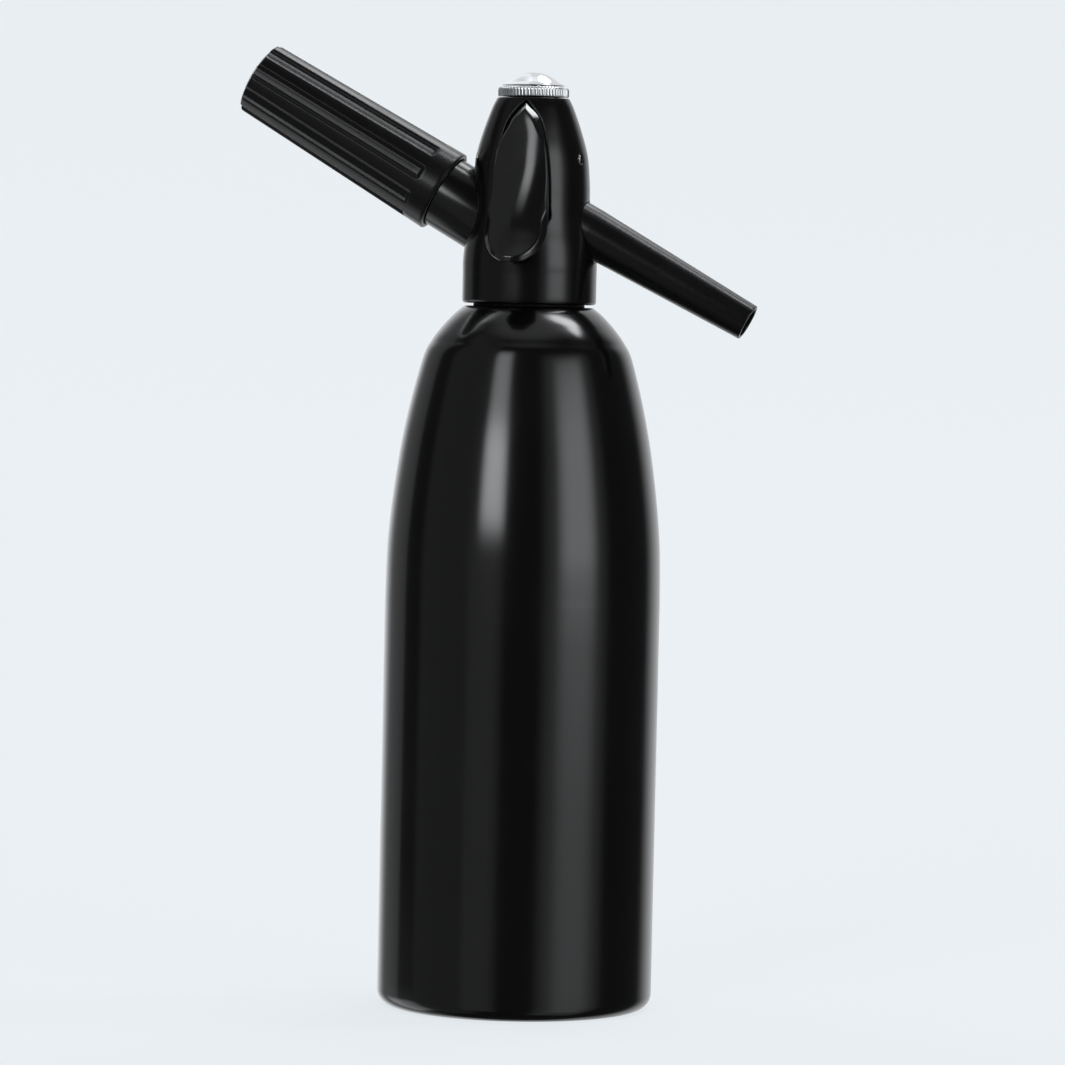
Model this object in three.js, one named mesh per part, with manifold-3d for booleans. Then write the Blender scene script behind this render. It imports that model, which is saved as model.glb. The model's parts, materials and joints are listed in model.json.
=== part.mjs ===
// One-litre soda siphon: lacquered bottle, screw-on head with press lever, dispensing spout,
// chrome cap and a fluted holder with its gas charger. Millimetres, +Z up.
// The origin is on the bottle's axis in the plane the bottle stands on.
// The lever faces -Y, the spout points to +X and the charger holder to -X.

import * as THREE from "three";
import { mergeVertices } from "three/addons/utils/BufferGeometryUtils.js";
import Module from "manifold-3d";

const wasm = await Module();
wasm.setup();

// ---------- driving dimensions ----------

const BOTTLE_R = 45;
const BOTTLE_WALL = 1.6;
const BASE_ROUND = 5;
const BASE_RECESS_R = 34;
const BASE_RECESS = 1;
const SHOULDER_START_Z = 133;
const SHELF_R = 20.6;
const SHELF_Z = 228.5;
const NECK_R = 16.8;
const NECK_TOP_Z = 239;
const MOUTH_R = 14;
const NECK_PITCH = 3;

const RISER_R = 3.4;
const RISER_BORE_R = 2.4;
const RISER_FOOT_Z = 10;
const RISER_TOP_Z = 250.5;
const FLANGE_Z = 240.6;
const FLANGE_R = 16.4;

const HEAD_FOOT_Z = 230.2;
const HEAD_TOP_Z = 297.2;
const HEAD_R = 21.9;
const HEAD_THREAD_BORE_R = 18.2;
const HEAD_SEAT_Z = 245.5;
const CORE_R = 6.9;
const CORE_TOP_Z = 272;
const STEM_R = 1.9;

const PIN_Y = -6;
const PIN_Z = 277.5;
const PIN_R = 1.3;
const PIN_HOLE_R = 1.6;
const PIN_HALF = 17.2;
const PRESS_DEG = 9;
const HUB_R = 2.6;
const ARM_HALF = 5.5;
const FORK_HALF = 2.5;
const FORK_R = 1.9;

const SPOUT_Z = 265;
const SPOUT_TILT = 28.5;
const SPOUT_TIP = 82.5;
const SPOUT_ROOT_R = 8;
const SPOUT_TIP_R = 6.05;
const SPOUT_BORE_R = 4.9;

const HOLDER_Z = 249.5;
const HOLDER_TILT = 30.2;
const SOCKET_R = 12.05;
const SLEEVE_RIM = 33.6;
const SLEEVE_END = 106.2;
const SLEEVE_RIM_R = 13.9;
const SLEEVE_END_R = 12.3;
const FLUTES = 9;
const FLUTE_WIDTH = 5.3;
const FLUTE_DEPTH = 1.1;
const FLUTE_START = 40.4;
const FLUTE_CORNER = 1.2;
const FLUTE_TURN = 9.6;
const SLEEVE_FLOOR = 103.6;
const CHARGER_TIP = 35.5;
const CHARGER_LENGTH = 65.5;
const CHARGER_R = 9;

const CAP_FOOT_Z = 297.6;
const CAP_R = 11.6;
const CAP_RING_H = 3.3;
const CAP_TEETH = 40;
const DOME_TOP_Z = 305.7;

// ---------- materials ----------

const lacquer = () => new THREE.MeshStandardMaterial({ color: 0x0b0b0c, roughness: 0.16, metalness: 0.2 });
const glossPlastic = () => new THREE.MeshStandardMaterial({ color: 0x0d0d0e, roughness: 0.2, metalness: 0 });
const satinPlastic = () => new THREE.MeshStandardMaterial({ color: 0x131314, roughness: 0.42, metalness: 0 });
const blackRubber = () => new THREE.MeshStandardMaterial({ color: 0x151515, roughness: 0.8, metalness: 0 });
const paleRubber = () => new THREE.MeshStandardMaterial({ color: 0xc8c4ba, roughness: 0.7, metalness: 0 });
const paleNylon = () => new THREE.MeshStandardMaterial({ color: 0xe6e4dc, roughness: 0.5, metalness: 0 });
const brass = () => new THREE.MeshStandardMaterial({ color: 0xb8923f, roughness: 0.35, metalness: 1 });
const steel = () => new THREE.MeshStandardMaterial({ color: 0xb4b6b8, roughness: 0.3, metalness: 1 });
const chrome = () => new THREE.MeshStandardMaterial({ color: 0xe4e6e8, roughness: 0.06, metalness: 1 });

// ---------- helpers ----------

const rad = THREE.MathUtils.degToRad;
const v2 = (x, y) => new THREE.Vector2(x, y);

// Points of an arc in a profile, from angle a0 to a1 in degrees.
function arc(cx, cy, r, a0, a1, steps) {
  const points = [];
  for (let i = 0; i <= steps; i++) {
    const a = rad(a0 + ((a1 - a0) * i) / steps);
    points.push(v2(cx + r * Math.cos(a), cy + r * Math.sin(a)));
  }
  return points;
}

// Turns a profile of (radius, height) points about Z. The outer side runs upwards.
function lathe(profile, segments) {
  const geometry = new THREE.LatheGeometry(profile, segments);
  return geometry.rotateX(Math.PI / 2);
}

// A ring of rectangular section: it closes on itself.
function ring(rIn, rOut, z0, z1, segments) {
  return lathe([v2(rIn, z0), v2(rOut, z0), v2(rOut, z1), v2(rIn, z1), v2(rIn, z0)], segments);
}

// A round bar along Z.
function bar(r, z0, z1, segments) {
  return new THREE.CylinderGeometry(r, r, z1 - z0, segments)
    .rotateX(Math.PI / 2)
    .translate(0, 0, (z0 + z1) / 2);
}

function box(x0, x1, y0, y1, z0, z1) {
  return new THREE.BoxGeometry(x1 - x0, y1 - y0, z1 - z0)
    .translate((x0 + x1) / 2, (y0 + y1) / 2, (z0 + z1) / 2);
}

// A closed three.js geometry as a solid that can be joined and cut.
function solid(geometry) {
  const bare = geometry.clone();
  bare.deleteAttribute("normal");
  bare.deleteAttribute("uv");
  const merged = mergeVertices(bare, 1e-4);
  const index = merged.index.array;
  const kept = [];
  for (let i = 0; i < index.length; i += 3) {
    const [a, b, c] = [index[i], index[i + 1], index[i + 2]];
    if (a !== b && b !== c && c !== a) {
      kept.push(a, b, c);
    }
  }
  return new wasm.Manifold(new wasm.Mesh({
    numProp: 3,
    vertProperties: new Float32Array(merged.attributes.position.array),
    triVerts: new Uint32Array(kept),
  }));
}

// The solid's triangles as a three.js geometry.
function geometryOf(body) {
  const mesh = body.getMesh();
  const geometry = new THREE.BufferGeometry();
  geometry.setAttribute("position", new THREE.BufferAttribute(mesh.vertProperties, 3));
  geometry.setIndex(new THREE.BufferAttribute(mesh.triVerts, 1));
  geometry.computeVertexNormals();
  return geometry;
}

// A rounded thread or coil wire: a circle carried along a helix about Z.
function helix(radius, wire, pitch, z0, turns, stepsPerTurn, sides) {
  const path = new THREE.Curve();
  path.getPoint = (t, target = new THREE.Vector3()) => {
    const a = 2 * Math.PI * turns * t;
    return target.set(radius * Math.cos(a), radius * Math.sin(a), z0 + pitch * turns * t);
  };
  const section = new THREE.Shape(arc(0, 0, wire, 0, 360 - 360 / sides, sides - 1));
  return new THREE.ExtrudeGeometry(section, {
    steps: Math.round(turns * stepsPerTurn),
    extrudePath: path,
    curveSegments: 1,
  });
}

// Local Z runs outwards along the spout.
function alongSpout(geometry) {
  return geometry.rotateY(rad(90 + SPOUT_TILT)).translate(0, 0, SPOUT_Z);
}

// Local Z runs outwards along the charger holder.
function alongHolder(geometry) {
  return geometry.rotateY(rad(HOLDER_TILT - 90)).translate(0, 0, HOLDER_Z);
}

const siphon = new THREE.Group();

function place(name, geometry, material, parent = siphon) {
  const mesh = new THREE.Mesh(geometry, material);
  mesh.name = name;
  parent.add(mesh);
}

const spoutGroup = new THREE.Group();
spoutGroup.position.z = SPOUT_Z;
spoutGroup.rotation.y = rad(90 + SPOUT_TILT);
siphon.add(spoutGroup);

const holderGroup = new THREE.Group();
holderGroup.position.z = HOLDER_Z;
holderGroup.rotation.y = rad(HOLDER_TILT - 90);
siphon.add(holderGroup);

// ---------- bottle ----------

const shoulderCurve = new THREE.SplineCurve([
  v2(BOTTLE_R, SHOULDER_START_Z),
  v2(44.5, 152.5),
  v2(42.4, 172.2),
  v2(39.1, 191.8),
  v2(34.2, 211.4),
  v2(31.1, 218),
  v2(26, 224.5),
  v2(SHELF_R, SHELF_Z),
]);

// Shoulder points from bottom to top, moved inwards along the normal.
function shoulder(inwards, steps) {
  const points = [];
  for (let i = 0; i <= steps; i++) {
    const u = i / steps;
    const p = shoulderCurve.getPointAt(u);
    const t = shoulderCurve.getTangentAt(u);
    points.push(v2(p.x - t.y * inwards, p.y + t.x * inwards));
  }
  return points;
}

function bottleShell() {
  const innerR = BOTTLE_R - BOTTLE_WALL;
  const innerRound = BASE_ROUND - BOTTLE_WALL;
  const profile = [
    v2(0, BASE_RECESS),
    v2(BASE_RECESS_R - 1, BASE_RECESS),
    v2(BASE_RECESS_R, 0),
    ...arc(BOTTLE_R - BASE_ROUND, BASE_ROUND, BASE_ROUND, -90, 0, 4),
    ...shoulder(0, 11),
    v2(NECK_R, SHELF_Z),
    v2(NECK_R, NECK_TOP_Z - 0.8),
    v2(NECK_R - 0.8, NECK_TOP_Z),
    v2(MOUTH_R + 0.6, NECK_TOP_Z),
    v2(MOUTH_R, NECK_TOP_Z - 0.6),
    v2(MOUTH_R, SHELF_Z - BOTTLE_WALL),
    ...shoulder(BOTTLE_WALL, 5).reverse(),
    ...arc(innerR - innerRound, BASE_RECESS + BOTTLE_WALL + innerRound, innerRound, 0, -90, 3),
    v2(0, BASE_RECESS + BOTTLE_WALL),
  ];
  const thread = helix(NECK_R, 1, NECK_PITCH, 231.9, 1.6, 10, 3);
  return geometryOf(solid(lathe(profile, 36)).add(solid(thread)));
}

place("bottle_shell", bottleShell(), lacquer());
place("neck_ring", ring(NECK_R + 0.4, SHELF_R - 0.1, SHELF_Z + 0.3, SHELF_Z + 1.4, 36), blackRubber());

// ---------- riser and filling gauge ----------

function riserTube() {
  const profile = [
    v2(RISER_BORE_R, RISER_FOOT_Z),
    v2(RISER_R, RISER_FOOT_Z),
    v2(RISER_R, FLANGE_Z),
    v2(FLANGE_R, FLANGE_Z),
    v2(FLANGE_R, FLANGE_Z + 1.2),
    v2(RISER_R, FLANGE_Z + 1.2),
    v2(RISER_R, RISER_TOP_Z),
    v2(RISER_BORE_R, RISER_TOP_Z),
    v2(RISER_BORE_R, RISER_FOOT_Z),
  ];
  let body = solid(lathe(profile, 20));
  for (const angle of [60, 180, 300]) {
    const hole = bar(0.9, FLANGE_Z - 1, FLANGE_Z + 3, 6).translate(5.2, 0, 0).rotateZ(rad(angle));
    body = body.subtract(solid(hole));
  }
  return geometryOf(body);
}

// The gauge hangs round the riser and has a slot that lets the level settle.
function measuringTube() {
  const tube = solid(ring(5.2, 6.4, 172, FLANGE_Z - 1.9, 20));
  return geometryOf(tube.subtract(solid(box(4, 8, -0.8, 0.8, 170, 205))));
}

place("riser_tube", riserTube(), paleNylon());
place("measuring_tube", measuringTube(), paleNylon());
place("check_sleeve", ring(4.2, 6.6, FLANGE_Z - 1.6, FLANGE_Z - 0.3, 20), blackRubber());
place("riser_gasket", ring(MOUTH_R + 0.3, FLANGE_R, NECK_TOP_Z + 0.3, FLANGE_Z - 0.3, 24), paleRubber());
place("head_seal", ring(8.5, FLANGE_R, FLANGE_Z + 1.5, FLANGE_Z + 2.6, 24), blackRubber());

// ---------- lever ----------

// Outer crown line of the lever in the Y-Z plane, from its tip down.
const leverFront = new THREE.SplineCurve([
  v2(-12, 296.4),
  v2(-15.1, 290),
  v2(-18, 282),
  v2(-20.7, 273),
  v2(-23.5, 265),
  v2(-27, 257),
  v2(-31, 250),
  v2(-35.4, 243),
]);

const leverBack = new THREE.SplineCurve([
  v2(-9.9, 296.4),
  v2(-11.7, 290),
  v2(-13.6, 282),
  v2(-15.8, 272),
  v2(-17.8, 264),
  v2(-22.6, 257),
  v2(-27.4, 250),
  v2(-32.2, 243),
]);

// Half outlines of the lever's face and of its flared lower lip, from the top down.
const faceHalf = [v2(0, 296), v2(3.4, 292.9), v2(5.7, 289.7), v2(7.4, 285), v2(8.7, 278),
  v2(9.2, 270), v2(9.3, 261), v2(8.7, 254), v2(6.9, 248.6), v2(3.8, 245.6), v2(0, 244.7)];
const lipHalf = [v2(0, 262), v2(6, 261.5), v2(9.2, 259.4), v2(10.1, 255.5), v2(9.8, 250.5),
  v2(7.4, 246.3), v2(4, 243.9), v2(0, 243.3)];

// A symmetric outline through a half outline, widened by grow on every side, extruded along Y.
function outlineBlock(half, grow, steps, y0, y1) {
  const curve = new THREE.SplineCurve(half);
  const right = [];
  for (let i = 0; i <= steps; i++) {
    const p = curve.getPoint(i / steps);
    const t = curve.getTangent(i / steps);
    right.push(i === 0 || i === steps
      ? v2(0, p.y + (i === 0 ? grow : -grow))
      : v2(p.x - t.y * grow, p.y + t.x * grow));
  }
  const left = right.slice(1, -1).reverse().map((p) => v2(-p.x, p.y));
  return new THREE.ExtrudeGeometry(new THREE.Shape([...right, ...left]), {
    depth: y1 - y0,
    bevelEnabled: false,
  }).rotateX(Math.PI / 2).translate(0, y1, 0);
}

// Extrudes an outline in the Y-Z plane across X.
function sideBlock(outline, half) {
  const shape = new THREE.Shape(outline);
  return new THREE.ExtrudeGeometry(shape, { depth: 2 * half, bevelEnabled: false })
    .rotateX(Math.PI / 2)
    .rotateZ(Math.PI / 2)
    .translate(-half, 0, 0);
}

// The band between the lever's front line, moved back by inset, and its back line moved back by gap.
function leverBand(inset, gap, steps) {
  const front = leverFront.getPoints(steps).map((p) => v2(p.x + inset, p.y));
  const back = leverBack.getPoints(steps).map((p) => v2(p.x + gap, p.y));
  back[0].y += gap;
  front[0].y += gap;
  return sideBlock([...front, ...back.reverse()], 14);
}

// A deep bar whose front is crowned across its width, following the lever's front line.
function crownedBar(steps) {
  const radius = 22;
  const half = 13;
  const edge = (180 / Math.PI) * Math.asin(half / radius);
  const crown = arc(0, radius, radius, -90 - edge, -90 + edge, 12);
  const section = new THREE.Shape([...crown, v2(half, 10), v2(-half, 10)]);
  const path = new THREE.Curve();
  path.getPoint = (t, target = new THREE.Vector3()) => {
    const p = leverFront.getPoint(t);
    return target.set(0, p.x, p.y + 3 * (0.5 - t));
  };
  return new THREE.ExtrudeGeometry(section, { steps, extrudePath: path });
}

// The hub round the hinge pin and the web that carries it on the back of the lever.
function leverArm() {
  const hub = bar(HUB_R, -ARM_HALF, ARM_HALF, 16).rotateY(Math.PI / 2).translate(0, PIN_Y, PIN_Z);
  const web = box(-ARM_HALF, ARM_HALF, -17.2, PIN_Y, PIN_Z - HUB_R, PIN_Z + HUB_R);
  return solid(hub).add(solid(web));
}

function lever() {
  const crown = solid(crownedBar(16));
  const face = solid(outlineBlock(faceHalf, 0, 22, -40, 0))
    .intersect(solid(leverBand(-1, 0, 12)))
    .intersect(crown);
  const lip = solid(outlineBlock(lipHalf, 0, 20, -40, 0))
    .intersect(solid(leverBand(1.3, 0, 12)));
  let body = face.add(lip).add(leverArm());
  for (const side of [-1, 1]) {
    const inner = side * FORK_HALF;
    const outer = side * ARM_HALF;
    const x0 = Math.min(inner, outer);
    const x1 = Math.max(inner, outer);
    const end = bar(FORK_R, x0, x1, 16).rotateY(Math.PI / 2).translate(0, 0, PIN_Z);
    body = body.add(solid(box(x0, x1, PIN_Y, 0, PIN_Z - FORK_R, PIN_Z + FORK_R)));
    body = body.add(solid(end));
  }
  const pinHole = bar(PIN_HOLE_R, -20, 20, 16).rotateY(Math.PI / 2).translate(0, PIN_Y, PIN_Z);
  return geometryOf(body.subtract(solid(pinHole)));
}

// The room the lever needs in the head, from rest to fully pressed.
function leverRoom() {
  const still = solid(outlineBlock(faceHalf, 0.4, 16, -60, 0))
    .add(solid(outlineBlock(lipHalf, 0.4, 10, -60, 0)))
    .intersect(solid(leverBand(-20, 0.45, 7)));
  let room = still;
  for (const share of [0.5, 1]) {
    const turned = geometryOf(still)
      .translate(0, -PIN_Y, -PIN_Z)
      .rotateX(rad(PRESS_DEG * share))
      .translate(0, PIN_Y, PIN_Z);
    room = room.add(solid(turned));
  }
  return room;
}

// ---------- head ----------

const headCurve = new THREE.SplineCurve([
  v2(HEAD_R, 240),
  v2(21.5, 248),
  v2(20.3, 255),
  v2(19.3, 262),
  v2(19.1, 269),
  v2(18.3, 278.2),
  v2(16.2, 286.1),
  v2(13.4, 293.9),
  v2(11.8, HEAD_TOP_Z),
]);

function headShell() {
  const profile = [
    v2(HEAD_THREAD_BORE_R, HEAD_FOOT_Z),
    ...arc(HEAD_R - 1, HEAD_FOOT_Z + 1, 1, -90, 0, 2),
    ...headCurve.getPoints(12),
    v2(10.4, HEAD_TOP_Z),
    v2(10.4, HEAD_TOP_Z - 0.7),
    v2(8.2, HEAD_TOP_Z - 0.7),
    v2(8.2, 288.6),
    v2(6.4, 288.6),
    v2(6.4, CORE_TOP_Z + 0.8),
    v2(CORE_R + 0.3, CORE_TOP_Z + 0.3),
    v2(CORE_R + 0.3, HEAD_SEAT_Z),
    v2(HEAD_THREAD_BORE_R, HEAD_SEAT_Z),
    v2(HEAD_THREAD_BORE_R, HEAD_FOOT_Z),
  ];
  const thread = helix(HEAD_THREAD_BORE_R + 0.2, 1, NECK_PITCH, 232.4, 2.2, 10, 3);
  const pinHole = bar(PIN_HOLE_R, -25, 25, 16).rotateY(Math.PI / 2).translate(0, PIN_Y, PIN_Z);
  const fork = box(-ARM_HALF - 0.45, ARM_HALF + 0.45, -18, 2.6, PIN_Z - 5.4, PIN_Z + 3.6);
  const cuts = [
    thread,
    pinHole,
    fork,
    alongSpout(bar(6.4, 5, 16, 20)),
    alongSpout(bar(SPOUT_ROOT_R + 0.3, 15, 60, 24)),
    alongHolder(bar(4.3, 7, 18, 16)),
    alongHolder(bar(SOCKET_R + 0.3, 16.1, 60, 24)),
  ];
  let body = solid(lathe(profile, 32));
  for (const cut of cuts) {
    body = body.subtract(solid(cut));
  }
  return geometryOf(body.subtract(leverRoom()));
}

place("head_shell", headShell(), glossPlastic());
place("lever", lever(), glossPlastic());
place("hinge_pin", bar(PIN_R, -PIN_HALF, PIN_HALF, 16).rotateY(Math.PI / 2).translate(0, PIN_Y, PIN_Z),
  steel());

// ---------- valve ----------

function valveBody() {
  const profile = [
    v2(3.7, 243.5),
    v2(17, 243.5),
    v2(17, HEAD_SEAT_Z - 0.3),
    v2(CORE_R, HEAD_SEAT_Z - 0.3),
    v2(CORE_R, CORE_TOP_Z),
    v2(4.4, CORE_TOP_Z),
    v2(4.4, 268.8),
    v2(2.3, 268.8),
    v2(2.3, 267.4),
    v2(5, 267.4),
    v2(5, 257.5),
    v2(3.2, 257.5),
    v2(3.2, 258.2),
    v2(2.2, 258.2),
    v2(2.2, 252),
    v2(3.7, 252),
    v2(3.7, 243.5),
  ];
  const gasInlet = alongHolder(bar(0.9, 4.5, 14, 6));
  const gasDrop = bar(0.7, 242, 253.6, 6).translate(-5.4, 0, 0);
  const outlet = alongSpout(bar(3, 3, 14, 12));
  let body = solid(lathe(profile, 20));
  for (const cut of [gasInlet, gasDrop, outlet]) {
    body = body.subtract(solid(cut));
  }
  return geometryOf(body);
}

function valveStem() {
  const profile = [
    v2(0, 258.8),
    v2(0.9, 258.8),
    v2(0.9, 260.8),
    v2(3.6, 260.8),
    v2(3.6, 261.8),
    v2(STEM_R, 262.4),
    v2(STEM_R, 279.7),
    v2(4.2, 279.7),
    v2(4.2, 281),
    v2(2.4, 281),
    v2(2.4, 286),
    v2(0, 286.8),
  ];
  return lathe(profile, 16);
}

place("valve_body", valveBody(), brass());
place("valve_stem", valveStem(), steel());
place("valve_seat", ring(1.2, 3.5, 258.5, 260.5, 16), blackRubber());
place("stem_packing", ring(2.3, 4.1, 269.1, 271, 16), blackRubber());
place("packing_gland", ring(2.3, 4.1, 271.3, 272.4, 16), brass());
place("valve_spring", helix(3.7, 0.42, 2.35, 281.75, 5.6, 10, 4), steel());

// ---------- cap ----------

function capRing() {
  const teeth = [];
  for (let i = 0; i < CAP_TEETH * 2; i++) {
    const a = (Math.PI * i) / CAP_TEETH;
    const r = i % 2 ? CAP_R - 0.45 : CAP_R;
    teeth.push(v2(r * Math.cos(a), r * Math.sin(a)));
  }
  const knurl = new THREE.ExtrudeGeometry(new THREE.Shape(teeth), {
    depth: CAP_RING_H,
    bevelEnabled: false,
  }).translate(0, 0, CAP_FOOT_Z);
  const top = CAP_FOOT_Z + CAP_RING_H;
  const envelope = lathe([v2(0, CAP_FOOT_Z - 1), v2(14, CAP_FOOT_Z - 1), v2(14, top - 2.3),
    v2(CAP_R - 1.3, top), v2(0, top)], 24);
  const shank = bar(7.6, 289.2, CAP_FOOT_Z + 1, 32);
  const springBore = bar(5.3, 288, 295.7, 24);
  const spigotBore = bar(4.3, 298.2, top + 1, 24);
  const body = solid(knurl).intersect(solid(envelope)).add(solid(shank));
  return geometryOf(body.subtract(solid(springBore)).subtract(solid(spigotBore)));
}

function capDome() {
  const foot = CAP_FOOT_Z + CAP_RING_H + 0.3;
  const rim = 9.9;
  const flank = new THREE.SplineCurve([
    v2(rim, foot + 0.2),
    v2(8.2, foot + 0.95),
    v2(6.6, foot + 2),
    v2(5.1, foot + 3.1),
    v2(3, foot + 4.1),
    v2(0, DOME_TOP_Z),
  ]);
  return lathe([v2(0, 298.6), v2(4, 298.6), v2(4, foot), v2(rim, foot), ...flank.getPoints(10)], 24);
}

place("cap_ring", capRing(), chrome());
place("cap_dome", capDome(), chrome());
place("cap_oring", ring(8.6, 10.1, HEAD_TOP_Z - 0.4, HEAD_TOP_Z + 0.1, 24), blackRubber());

// ---------- spout ----------

function spoutTube() {
  const profile = [
    v2(3.2, 11.2),
    v2(5, 11.2),
    v2(5, 15.3),
    v2(SPOUT_ROOT_R, 15.3),
    v2(SPOUT_ROOT_R, 23),
    v2(SPOUT_TIP_R, SPOUT_TIP - 0.5),
    v2(SPOUT_TIP_R - 0.4, SPOUT_TIP),
    v2(SPOUT_BORE_R, SPOUT_TIP),
    v2(SPOUT_BORE_R, 62),
    v2(3.2, 60),
    v2(3.2, 11.2),
  ];
  return lathe(profile, 24);
}

place("spout", spoutTube(), satinPlastic(), spoutGroup);
place("spout_insert", ring(2.4, SPOUT_BORE_R - 0.3, 62.4, 66, 16), satinPlastic(), spoutGroup);
place("spout_oring", ring(5.3, 6.1, 12.4, 13.8, 20), blackRubber(), spoutGroup);

// ---------- charger socket, charger and holder ----------

function chargerSocket() {
  const profile = [
    v2(1.3, 11),
    v2(4, 11),
    v2(4, 16.4),
    v2(SOCKET_R, 16.4),
    v2(SOCKET_R, 34.6),
    v2(10.7, 35),
    v2(10.7, 45.2),
    v2(10.2, 45.8),
    v2(9.6, 45.8),
    v2(9.6, 31.2),
    v2(6.4, 31.2),
    v2(6.4, 22.6),
    v2(1.3, 22.6),
    v2(1.3, 11),
  ];
  const thread = helix(10.7, 0.5, 1.5, 38, 2, 9, 3);
  return geometryOf(solid(lathe(profile, 24)).add(solid(thread)));
}

function piercingInsert() {
  const profile = [v2(1.2, 22.9), v2(6.1, 22.9), v2(6.1, 31.5), v2(9.3, 31.5), v2(9.3, 33),
    v2(1.2, 33), v2(1.2, 22.9)];
  return lathe(profile, 20);
}

function piercingPin() {
  return lathe([v2(0, 23.4), v2(0.85, 23.4), v2(0.85, 36.2), v2(0, 37.6)], 12);
}

function charger() {
  const end = CHARGER_TIP + CHARGER_LENGTH;
  const wall = 1.3;
  const profile = [
    v2(1.3, CHARGER_TIP),
    v2(3.2, CHARGER_TIP),
    v2(3.65, CHARGER_TIP + 0.5),
    v2(3.65, 42),
    ...arc(3.65, 47.5, 5.35, -68, 0, 3),
    ...arc(0, end - CHARGER_R, CHARGER_R, 0, 90, 5),
    ...arc(0, end - CHARGER_R, CHARGER_R - wall, 90, 0, 3),
    v2(CHARGER_R - wall, 48.4),
    v2(2.4, 43.6),
    v2(2.4, 37),
    v2(1.3, 36.6),
    v2(1.3, CHARGER_TIP),
  ];
  return lathe(profile, 20);
}

// One flute: a straight slot whose inner end has rounded corners, cut in from the outside.
function flute(index) {
  const half = FLUTE_WIDTH / 2;
  const outline = new THREE.Shape([
    ...arc(FLUTE_CORNER - half, FLUTE_START + FLUTE_CORNER, FLUTE_CORNER, 180, 270, 3),
    ...arc(half - FLUTE_CORNER, FLUTE_START + FLUTE_CORNER, FLUTE_CORNER, 270, 360, 3),
    v2(half, SLEEVE_END + 4),
    v2(-half, SLEEVE_END + 4),
  ]);
  return new THREE.ExtrudeGeometry(outline, { depth: 8, bevelEnabled: false })
    .rotateX(Math.PI / 2)
    .translate(0, -8, 0)
    .rotateZ(rad((360 * index) / FLUTES + FLUTE_TURN));
}

function holderSleeve() {
  const profile = [
    v2(0, SLEEVE_FLOOR),
    v2(8.8, SLEEVE_FLOOR),
    v2(9.8, SLEEVE_FLOOR - 1),
    v2(9.8, 47.3),
    v2(11.6, 46.7),
    v2(11.6, 36.2),
    v2(12.4, 35.6),
    v2(12.4, SLEEVE_RIM),
    v2(SLEEVE_RIM_R - 0.5, SLEEVE_RIM),
    v2(SLEEVE_RIM_R, SLEEVE_RIM + 0.5),
    v2(SLEEVE_END_R, SLEEVE_END - 0.6),
    v2(SLEEVE_END_R - 0.6, SLEEVE_END),
    v2(8.4, SLEEVE_END + 1.2),
    v2(4.2, SLEEVE_END + 1.8),
    v2(0, SLEEVE_END + 2),
  ];
  const floor = solid(lathe([
    v2(0, SLEEVE_RIM - 2),
    v2(SLEEVE_RIM_R - FLUTE_DEPTH, SLEEVE_RIM - 2),
    v2(SLEEVE_END_R - FLUTE_DEPTH, SLEEVE_END + 6),
    v2(0, SLEEVE_END + 6),
  ], 36));
  let body = solid(lathe(profile, 36));
  for (let i = 0; i < FLUTES; i++) {
    body = body.subtract(solid(flute(i)).subtract(floor));
  }
  return geometryOf(body);
}

place("charger_socket", chargerSocket(), glossPlastic(), holderGroup);
place("piercing_insert", piercingInsert(), brass(), holderGroup);
place("piercing_pin", piercingPin(), steel(), holderGroup);
place("charger_seal", ring(1.5, 4.4, 33.3, 35.2, 16), blackRubber(), holderGroup);
place("charger", charger(), steel(), holderGroup);
place("cushion", bar(8.2, 101.4, 103.2, 24), blackRubber(), holderGroup);
place("holder_sleeve", holderSleeve(), satinPlastic(), holderGroup);

export default siphon;
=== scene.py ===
# One-litre soda siphon: glossy black bottle and head, press lever, satin spout and fluted holder,
# chrome cap. Lengths in the outlines are millimetres and are scaled to metres as each mesh is made.

import json
import math

import bmesh
import bpy
from mathutils import Matrix, Vector

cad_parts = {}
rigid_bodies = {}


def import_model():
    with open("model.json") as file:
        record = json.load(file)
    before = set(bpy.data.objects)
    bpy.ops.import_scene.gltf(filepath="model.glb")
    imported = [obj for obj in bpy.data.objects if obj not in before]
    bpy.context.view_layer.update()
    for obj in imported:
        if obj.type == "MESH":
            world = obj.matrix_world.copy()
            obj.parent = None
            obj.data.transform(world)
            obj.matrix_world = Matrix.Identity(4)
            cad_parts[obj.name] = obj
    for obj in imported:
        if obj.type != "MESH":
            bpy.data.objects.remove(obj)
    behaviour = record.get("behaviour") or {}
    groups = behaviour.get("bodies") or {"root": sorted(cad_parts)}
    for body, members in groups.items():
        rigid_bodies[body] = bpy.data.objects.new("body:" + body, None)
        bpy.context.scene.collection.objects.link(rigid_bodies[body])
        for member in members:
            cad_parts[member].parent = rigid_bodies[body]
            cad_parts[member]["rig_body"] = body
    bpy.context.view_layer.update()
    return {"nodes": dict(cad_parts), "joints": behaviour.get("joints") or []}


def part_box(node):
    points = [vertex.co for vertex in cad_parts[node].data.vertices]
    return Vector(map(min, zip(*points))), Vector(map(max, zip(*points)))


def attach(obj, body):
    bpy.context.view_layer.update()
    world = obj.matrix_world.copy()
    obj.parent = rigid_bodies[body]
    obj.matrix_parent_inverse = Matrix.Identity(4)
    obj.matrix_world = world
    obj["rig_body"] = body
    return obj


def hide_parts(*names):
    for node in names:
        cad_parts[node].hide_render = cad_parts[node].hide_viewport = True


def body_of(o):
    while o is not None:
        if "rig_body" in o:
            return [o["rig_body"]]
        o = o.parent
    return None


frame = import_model()

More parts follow.
